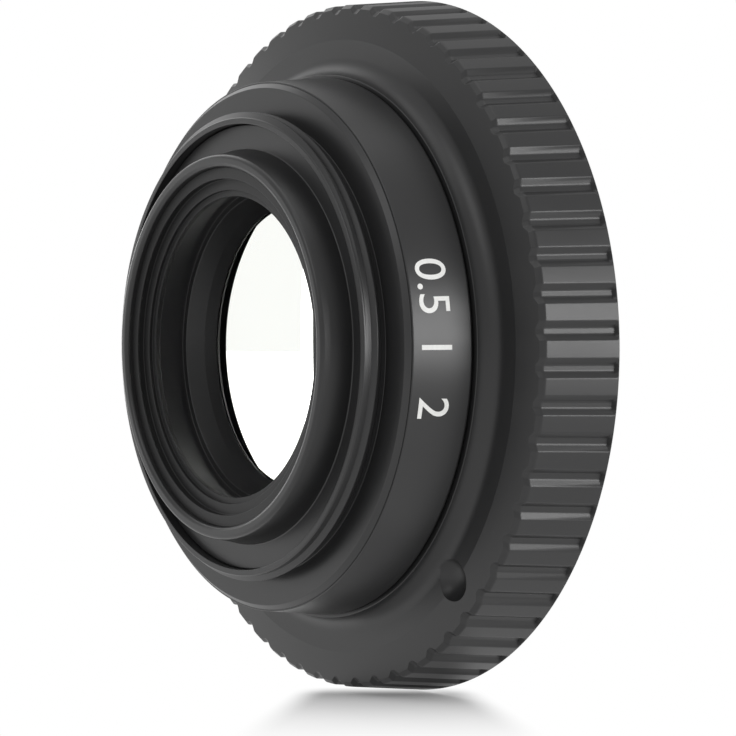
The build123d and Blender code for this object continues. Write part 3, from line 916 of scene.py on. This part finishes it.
def thread_tree():
    """Geometry Nodes that wind a tapered-off thread ridge round the Y axis."""
    tree = bpy.data.node_groups.new("thread_ridge", "GeometryNodeTree")
    graph = Graph(tree)
    names = ("Root Radius", "Start", "Height", "Turns", "Depth", "Root Width", "Crest", "Run Out", "Tip")
    inputs = {name: graph.input(name, "NodeSocketFloat") for name in names}
    inputs["Steps"] = graph.input("Steps", "NodeSocketInt")
    inputs["Finish"] = graph.input("Finish", "NodeSocketMaterial")
    tree.interface.new_socket(name="Geometry", in_out="OUTPUT", socket_type="NodeSocketGeometry")
    given = graph.node("NodeGroupInput")
    path = graph.node("GeometryNodeCurveSpiral", {
        "Resolution": given.sibling("Steps"), "Rotations": given.sibling("Turns"),
        "Start Radius": given.sibling("Root Radius"), "End Radius": given.sibling("Root Radius"),
        "Height": given.sibling("Height"),
    })
    along = graph.node("GeometryNodeSplineParameter")
    grow = (along / given.sibling("Run Out")).op("MINIMUM", (1 - along) / given.sibling("Run Out"))
    ramp = grow.op("MINIMUM", 1).op("MAXIMUM", given.sibling("Tip"))
    upright = graph.node("GeometryNodeSetCurveNormal", {"Curve": path}, mode="Z_UP")
    section = graph.node("GeometryNodeCurvePrimitiveQuadrilateral", {
        "Bottom Width": given.sibling("Root Width"), "Top Width": given.sibling("Crest"),
        "Height": given.sibling("Depth"), "Offset": 0.0,
    }, mode="TRAPEZOID")
    raised = graph.node("ShaderNodeCombineXYZ", {"Y": given.sibling("Depth") / 2})
    seated = graph.node("GeometryNodeTransform", {"Geometry": section, "Translation": raised})
    outward = graph.node("GeometryNodeTransform", {"Geometry": seated, "Rotation": (0, 0, math.pi / 2)})
    ridge = graph.node("GeometryNodeCurveToMesh", {
        "Curve": upright, "Profile Curve": outward, "Scale": ramp, "Fill Caps": True,
    })
    lift = graph.node("ShaderNodeCombineXYZ", {"Y": given.sibling("Start")})
    laid = graph.node("GeometryNodeTransform", {
        "Geometry": ridge, "Rotation": (-math.pi / 2, 0, 0), "Translation": lift,
    })
    real = graph.node("GeometryNodeRealizeInstances", {"Geometry": laid})
    painted = graph.node("GeometryNodeSetMaterial", {"Geometry": real, "Material": given.sibling("Finish")})
    graph.node("NodeGroupOutput", {"Geometry": painted})
    return tree, inputs


def grown(name, tree, inputs, values):
    """A plain mesh piece grown by a Geometry Nodes tree from named values."""
    piece = object_of(bpy.data.meshes.new(name))
    modifier = piece.modifiers.new("growth", "NODES")
    modifier.node_group = tree
    for key, value in values.items():
        modifier[inputs[key]] = value
    return baked(piece)


def ground(name, faces, rear_clear, front_clear):
    """A turned glass, with edge paint outside the polished radii of its rear and front faces."""
    glass = turned(name, faces, coated_glass())
    glass.data.materials.append(edge_black())
    for face in glass.data.polygons:
        radius = math.hypot(face.center.x, face.center.z)
        clear = front_clear if face.normal.y > 0 else rear_clear
        if radius > clear:
            face.material_index = 1
    return glass


def numeral(text, sizes, turn, cone):
    """One number as a thin painted mesh, wrapped round the barrel at an angle, top towards the front."""
    letters = bpy.data.curves.new("numeral", "FONT")
    letters.body = text
    letters.align_x = "CENTER"
    letters.extrude = LETTER_DEPTH
    letters.resolution_u = LETTER_STEPS
    holder = bpy.data.objects.new("numeral", letters)
    flat = bpy.data.meshes.new_from_object(holder)
    bpy.data.objects.remove(holder)
    tall = max(vertex.co.y for vertex in flat.vertices)
    scale = sizes.height / tall
    shell = bmesh.new()
    shell.from_mesh(flat)
    bmesh.ops.remove_doubles(shell, verts=shell.verts, dist=LETTER_WELD)
    bmesh.ops.scale(shell, vec=(scale, scale, 1), verts=shell.verts)
    low, high = (way(vertex.co.x for vertex in shell.verts) for way in (min, max))
    cuts = int((high - low) / sizes.slice)
    for cut in range(1, cuts):
        bmesh.ops.bisect_plane(
            shell,
            geom=shell.verts[:] + shell.edges[:] + shell.faces[:],
            plane_co=(low + (high - low) * cut / cuts, 0, 0),
            plane_no=(1, 0, 0),
        )
    for vertex in shell.verts:
        station = rear("barrel") + sizes.baseline + vertex.co.y
        radius = cone(station) + (sizes.paint if vertex.co.z > 0 else -sizes.paint)
        vertex.co = about_axis((radius, station), turn - vertex.co.x / cone(station))
    bmesh.ops.recalc_face_normals(shell, faces=shell.faces)
    shell.to_mesh(flat)
    shell.free()
    return flat


class LENS_OT_mount_ring(bpy.types.Operator):
    """Turns the mounting ring and winds its thread"""

    bl_idname = "lens.mount_ring"
    bl_label = "Mounting Ring"
    bl_options = {"REGISTER", "UNDO"}

    def execute(self, context):
        lens = context.scene.lens
        sizes = lens.mount
        corners = mount_ring_corners(sizes, lens.turning)
        turned_node("mount_ring", corners, satin_black(), "lens_body", "barrel_black")
        start = rear("mount_ring") + (sizes.lead + sizes.root_width) / 4
        height = -sizes.relief - sizes.root_width / 4 - start
        tree, inputs = thread_tree()
        ridge = grown("mount_thread", tree, inputs, {
            "Root Radius": THREAD_RADIUS - sizes.depth - RIDGE_FOOT,
            "Start": start,
            "Height": height,
            "Turns": height / sizes.pitch,
            "Depth": sizes.depth,
            "Root Width": sizes.root_width,
            "Crest": sizes.crest,
            "Run Out": sizes.run_out,
            "Tip": RIDGE_TIP,
            "Steps": lens.turning.segments // 2,
            "Finish": satin_black(),
        })
        close_and_shade(ridge.data, THREAD_CREASE)
        place(ridge, "lens_body", "barrel_black")
        return {"FINISHED"}


class LENS_OT_rear_cell(bpy.types.Operator):
    """Turns the rear cell and its stepped baffle"""

    bl_idname = "lens.rear_cell"
    bl_label = "Rear Cell"
    bl_options = {"REGISTER", "UNDO"}

    def execute(self, context):
        lens = context.scene.lens
        cell = rear_cell_corners(lens.cell, lens.turning)
        turned_node("rear_cell", cell, satin_black(), "lens_body", "barrel_black")
        baffle = baffle_corners(lens.baffle, lens.turning)
        turned_node("rear_baffle", baffle, inner_black(), "lens_body", "inner_black")
        return {"FINISHED"}


class LENS_OT_barrel(bpy.types.Operator):
    """Turns the barrel"""

    bl_idname = "lens.barrel"
    bl_label = "Barrel"
    bl_options = {"REGISTER", "UNDO"}

    def execute(self, context):
        lens = context.scene.lens
        corners = barrel_corners(lens.barrel, lens.turning)
        turned_node("barrel", corners, satin_black(), "lens_body", "barrel_black")
        return {"FINISHED"}


class LENS_OT_numerals(bpy.types.Operator):
    """Paints the numerals on the barrel"""

    bl_idname = "lens.numerals"
    bl_label = "Numerals"
    bl_options = {"REGISTER", "UNDO"}

    def execute(self, context):
        lens = context.scene.lens
        sizes = lens.dial
        start, end = rear("barrel"), lens.barrel.front
        narrow = reach("mount_ring") + lens.barrel.rear_step

        def cone(station):
            """Radius of the barrel's taper at a station."""
            return narrow + (reach("barrel") - narrow) * (station - start) / (end - start)

        texts = sizes.numerals.split()
        joined = bmesh.new()
        for index, text in enumerate(texts):
            turn = sizes.centre + sizes.spacing * ((len(texts) - 1) / 2 - index)
            joined.from_mesh(numeral(text, sizes, turn, cone))
        mesh = bpy.data.meshes.new("dial_numerals")
        joined.to_mesh(mesh)
        joined.free()
        mesh.materials.append(dial_white())
        place(object_of(mesh), "lens_body", "barrel_black")
        return {"FINISHED"}


class LENS_OT_grip_ring(bpy.types.Operator):
    """Builds the knurled grip ring from one pitch, cuts its index dimple and turns its helicoid nut"""

    bl_idname = "lens.grip_ring"
    bl_label = "Grip Ring"
    bl_options = {"REGISTER", "UNDO"}

    def execute(self, context):
        lens = context.scene.lens
        sizes = lens.grip
        sector = grip_sector(sizes, lens.turning, grip_black())
        tree, inputs = repeat_tree()
        ring = grown("grip_ring_knurled", tree, inputs, {
            "Slice": sector, "Count": sizes.grooves, "Weld": SLICE_WELD, "Finish": grip_black(),
        })
        bpy.data.objects.remove(sector)
        close_and_shade(ring.data)
        hub = reach("barrel") + sizes.hub_step
        shoulder = rear("grip_ring") + sizes.parting + sizes.fillet
        middle = (hub + sizes.fillet + sizes.dimple_outset, shoulder + sizes.dimple_depth - sizes.ball)
        ball = bmesh.new()
        bmesh.ops.create_icosphere(
            ball, subdivisions=BALL_SUBDIVISIONS, radius=sizes.ball,
            matrix=Matrix.Translation(about_axis(middle, sizes.dimple_angle)),
        )
        mesh = bpy.data.meshes.new("dimple_ball")
        ball.to_mesh(mesh)
        ball.free()
        mesh.materials.append(grip_black())
        cutter = object_of(mesh)
        cut = ring.modifiers.new("dimple", "BOOLEAN")
        cut.operation = "DIFFERENCE"
        cut.solver = "MANIFOLD"
        cut.object = cutter
        ring = baked(ring)
        bpy.data.objects.remove(cutter)
        ring.data.shade_smooth()
        ring.data.set_sharp_from_angle(angle=CREASE)
        place(ring, "focus_ring", "grip_black", "grip_ring")
        nut_corners = [
            (bore("helicoid_nut"), rear("helicoid_nut"), 0),
            (reach("helicoid_nut"), rear("helicoid_nut"), 0),
            (reach("helicoid_nut"), front("helicoid_nut"), lens.turning.fine_edge),
            (bore("helicoid_nut"), front("helicoid_nut"), lens.rings.nut_edge),
        ]
        turned_node("helicoid_nut", nut_corners, inner_black(), "focus_ring", "inner_black")
        return {"FINISHED"}


class LENS_OT_front_rings(bpy.types.Operator):
    """Turns the front cell, the bevelled retainer and the seal"""

    bl_idname = "lens.front_rings"
    bl_label = "Front Rings"
    bl_options = {"REGISTER", "UNDO"}

    def execute(self, context):
        lens = context.scene.lens
        sizes, fine = lens.rings, lens.turning.fine_edge
        seal_bore = reach("front_retainer") + SEATING_GAP
        glass = reach("front_element") + SEATING_GAP
        glass_edge = dome_edge(lens.glass)
        sleeve = bore("barrel") - RUNNING_GAP
        sleeve_bore = reach("second_element") + SEATING_GAP
        cell_corners = [
            (sleeve_bore, rear("front_cell"), fine),
            (sleeve, rear("front_cell"), fine),
            (sleeve, front("light_stop"), fine),
            (reach("front_cell"), front("light_stop"), fine),
            (reach("front_cell"), front("front_cell"), sizes.cell_edge),
            (seal_bore, front("front_cell"), sizes.cell_edge),
            (seal_bore, glass_edge, 0),
            (glass, glass_edge, 0),
            (glass, rear("front_element"), 0),
            (bore("front_cell"), rear("front_element"), fine),
            (bore("front_cell"), front("light_stop"), fine),
            (sleeve_bore, front("light_stop"), 0),
        ]
        turned_node("front_cell", cell_corners, inner_black(), "front_group", "inner_black")
        inner = bore("front_retainer")
        retainer_corners = [
            (inner, rear("front_retainer"), 0),
            (reach("front_retainer"), rear("front_retainer"), 0),
            (reach("front_retainer"), front("front_retainer"), fine),
            (inner + sizes.bevel, front("front_retainer"), fine),
            (inner, front("front_retainer") - sizes.bevel, fine / 2),
        ]
        turned_node("front_retainer", retainer_corners, satin_black(), "front_group", "barrel_black")
        middle = reach("front_seal") - sizes.seal_section
        station = (rear("front_seal") + front("front_seal")) / 2
        turns = [FULL_TURN * step / sizes.seal_steps for step in range(sizes.seal_steps)]
        section = sizes.seal_section
        seal_corners = [
            (middle + section * math.cos(turn), station + section * math.sin(turn), 0) for turn in turns
        ]
        black = lens.colours.rubber
        rubber = plain_finish("soft_black_rubber", black, roughness=0.6, scale=3000.0, depth=GRAIN_DEPTH)
        seal = turned("front_seal_ring", seal_corners, rubber)
        place(seal, "front_group", "seal_rubber", "front_seal")
        return {"FINISHED"}


class LENS_OT_glasses(bpy.types.Operator):
    """Grinds the doublet, the second glass and the domed front glass"""

    bl_idname = "lens.glasses"
    bl_label = "Glasses"
    bl_options = {"REGISTER", "UNDO"}

    def execute(self, context):
        lens = context.scene.lens
        sizes = lens.glass
        self.doublet(sizes)
        self.second(sizes)
        self.dome(sizes)
        return {"FINISHED"}

    def doublet(self, sizes):
        outer, clear = reach("doublet_crown"), bore("rear_cell")
        flint_clear = bore("doublet_retainer")
        flint_front = front("doublet_flint")
        faces = [
            *glass_face(rear("doublet_crown"), sizes.crown_rear, clear, 1),
            (outer, rear("doublet_crown") + sag(sizes.crown_rear, clear), 0),
            (outer, flint_front - sag(sizes.flint_front, flint_clear), 0),
            *reversed(glass_face(flint_front, sizes.flint_front, flint_clear, -1)),
        ]
        glass = ground("doublet_glass", faces, clear, flint_clear)
        place(glass, "lens_body", "coated_glass", "doublet_crown", "doublet_flint")

    def second(self, sizes):
        outer = reach("second_element")
        rear_clear, front_clear = bore("second_retainer"), bore("light_stop") - POLISH_MARGIN
        vertex = rear("second_element") + sag(sizes.second_rear, rear_clear)
        faces = [
            *glass_face(vertex, sizes.second_rear, rear_clear, -1),
            (outer, rear("second_element"), 0),
            (outer, rear("light_stop"), 0),
            *reversed(glass_face(front("second_element"), sizes.second_front, front_clear, -1)),
        ]
        glass = ground("second_glass", faces, rear_clear, front_clear)
        place(glass, "front_group", "coated_glass", "second_element")

    def dome(self, sizes):
        outer = reach("front_element")
        vertex = front("front_element") - sizes.dome_thickness
        depth = vertex - rear("front_element")
        clear = math.sqrt(sizes.hollow**2 - (sizes.hollow - depth) ** 2)
        faces = [
            *glass_face(vertex, sizes.hollow, clear, -1),
            (outer, rear("front_element"), 0),
            *reversed(glass_face(front("front_element"), sizes.dome, outer, -1)),
        ]
        glass = ground("front_glass", faces, clear, outer)
        place(glass, "front_group", "coated_glass", "front_element")


class LENS_OT_inner_pieces(bpy.types.Operator):
    """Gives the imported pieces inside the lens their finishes"""

    bl_idname = "lens.inner_pieces"
    bl_label = "Inner Pieces"
    bl_options = {"REGISTER", "UNDO"}

    def execute(self, context):
        lens = context.scene.lens
        colours = lens.colours
        steel = plain_finish(
            "ground_steel", colours.steel, roughness=0.3, scale=5000.0, depth=GRAIN_DEPTH / 2, metallic=1.0
        )
        plastic = plain_finish(
            "white_washer_plastic", colours.plastic, roughness=0.5, scale=2500.0, depth=GRAIN_DEPTH
        )
        finishes = {
            "doublet_retainer": inner_black(),
            "grip_retainer": inner_black(),
            "light_stop": inner_black(),
            "second_retainer": inner_black(),
            "spacing_shim": steel,
            "guide_pins": steel,
            "turn_stop_pin": steel,
            "glide_washer": plastic,
        }
        for node, finish in finishes.items():
            for slot in frame["nodes"][node].material_slots:
                slot.material = finish
        return {"FINISHED"}


class LENS_OT_stage(bpy.types.Operator):
    """Sets the floor, the room, the lamps and the camera"""

    bl_idname = "lens.stage"
    bl_label = "Stage"
    bl_options = {"REGISTER", "UNDO"}

    def execute(self, context):
        lens = context.scene.lens
        stage = lens.stage
        self.camera(stage)
        self.floor(stage, lens.colours)
        self.room(stage)
        self.lamps(stage)
        context.scene.view_settings.view_transform = "Standard"
        return {"FINISHED"}

    def camera(self, stage):
        a, e = stage.azimuth, stage.elevation
        right = Vector((math.cos(a), math.sin(a), 0))
        up = Vector((-math.sin(a) * math.sin(e), math.cos(a) * math.sin(e), math.cos(e)))
        back = Vector((math.sin(a) * math.cos(e), -math.cos(a) * math.cos(e), math.sin(e)))
        offset = stage.aside * right + stage.below * up + stage.distance * back
        camera = bpy.data.objects.new("camera", bpy.data.cameras.new("camera"))
        bpy.context.scene.collection.objects.link(camera)
        turn = Matrix((right, up, back)).transposed().to_4x4()
        spot = Vector((0, front("grip_ring"), 0)) + reach("grip_ring") * offset
        camera.matrix_world = Matrix.Translation(spot) @ turn
        camera.data.lens = stage.focal
        camera.data.sensor_width = SENSOR_WIDTH
        camera.data.clip_start = CLIP_START
        bpy.context.scene.camera = camera

    def floor(self, stage, colours):
        low = min(corner[0].z for corner in CORNERS.values())
        half = stage.floor_size
        corners = [(-half, -half, low), (half, -half, low), (half, half, low), (-half, half, low)]
        mesh = bpy.data.meshes.new("floor")
        mesh.from_pydata(corners, [], [(0, 1, 2, 3)])

        def build(graph):
            x = graph.node("ShaderNodeSeparateXYZ", {0: own_place(graph)})
            y = x.sibling("Y")
            a = stage.azimuth
            # Painted shadow: outside this wedge the floor is plain white. Inside it the lit floor shows,
            # greyer than white and fading out towards the camera, with the lens's real shadow from the
            # lamps.
            aside = (x * math.cos(a) + y * math.sin(a) - stage.shadow_aside).op("ABSOLUTE")
            ahead = x * math.sin(a) - y * math.cos(a) - stage.shadow_start
            edge = aside - ahead * stage.shadow_flare
            beside = fade(graph, edge, stage.shadow_core * stage.shadow_half, stage.shadow_half)
            before = fade(graph, ahead, -stage.shadow_lead, stage.shadow_depth)
            behind = fade(graph, ahead * -1, 0.0, stage.shadow_back)
            outside_painted_shadow = 1 - (1 - beside) * (1 - before) * (1 - behind)
            lit = graph.node("ShaderNodeBsdfPrincipled", {
                "Base Color": (*colours.floor, 1),
                "Roughness": FLOOR_ROUGHNESS,
                "Specular IOR Level": 0.0,
            })
            white = graph.node("ShaderNodeEmission", {"Color": (1, 1, 1, 1), "Strength": 1.0})
            path = graph.node("ShaderNodeLightPath")
            seen = path + path.sibling("Is Glossy Ray") + path.sibling("Is Transmission Ray")
            return graph.node("ShaderNodeMixShader", {0: outside_painted_shadow * seen, 1: lit, 2: white})

        mesh.materials.append(material("floor_paper", build))
        object_of(mesh)

    def room(self, stage):
        world = bpy.data.worlds.new("room")
        world.use_nodes = True
        bpy.context.scene.world = world
        graph = Graph(world.node_tree)
        path = graph.node("ShaderNodeLightPath")
        strength = (
            path
            + path.sibling("Is Transmission Ray")
            + path.sibling("Is Glossy Ray") * stage.mirrored
            + path.sibling("Is Diffuse Ray") * stage.ambient
        )
        glow = graph.node("ShaderNodeBackground", {"Color": (1, 1, 1, 1), "Strength": strength})
        graph.node("ShaderNodeOutputWorld", {"Surface": glow})

    def lamps(self, stage):
        for name in ("right", "top", "left", "side", "rear"):
            middle = Vector(getattr(stage, name + "_place"))
            lamp = bpy.data.lights.new(name + "_softbox", "AREA")
            lamp.shape = "RECTANGLE"
            lamp.size = getattr(stage, name + "_width")
            lamp.size_y = getattr(stage, name + "_height")
            lamp.energy = getattr(stage, name + "_power")
            holder = bpy.data.objects.new(name + "_softbox", lamp)
            holder.location = middle
            holder.rotation_euler = (Vector(stage.aim) - middle).to_track_quat("-Z", "Y").to_euler()
            bpy.context.scene.collection.objects.link(holder)


class LENS_PT_finish(bpy.types.Panel):
    """Sidebar panel with the building steps and their sizes"""

    bl_label = "Fisheye Lens"
    bl_idname = "LENS_PT_finish"
    bl_space_type = "VIEW_3D"
    bl_region_type = "UI"
    bl_category = "Lens"

    def draw(self, context):
        lens = context.scene.lens
        for operator in OPERATORS:
            self.layout.operator(operator.bl_idname)
        for group in LensSettings.__annotations__:
            box = self.layout.box()
            box.label(text=group.capitalize())
            sizes = getattr(lens, group)
            for name in type(sizes).__annotations__:
                box.prop(sizes, name)


SIZE_GROUPS = (
    TurningSizes, MountRingSizes, RearCellSizes, BaffleSizes, BarrelSizes, GripSizes, GlassSizes, RingSizes,
    DialSizes, FinishColours, StageSizes, LensSettings,
)
OPERATORS = (
    LENS_OT_mount_ring, LENS_OT_rear_cell, LENS_OT_barrel, LENS_OT_numerals, LENS_OT_grip_ring,
    LENS_OT_front_rings, LENS_OT_glasses, LENS_OT_inner_pieces, LENS_OT_stage,
)


def register():
    """Adds the classes and the scene's lens settings."""
    for part in (*SIZE_GROUPS, *OPERATORS, LENS_PT_finish):
        bpy.utils.register_class(part)
    bpy.types.Scene.lens = PointerProperty(type=LensSettings)


def unregister():
    """Removes what register added."""
    del bpy.types.Scene.lens
    for part in reversed((*SIZE_GROUPS, *OPERATORS, LENS_PT_finish)):
        bpy.utils.unregister_class(part)


def main():
    """Builds the lens and its stage."""
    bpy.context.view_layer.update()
    register()
    for operator in OPERATORS:
        group, step = operator.bl_idname.split(".")
        getattr(getattr(bpy.ops, group), step)()


if __name__ == "__main__":
    main()
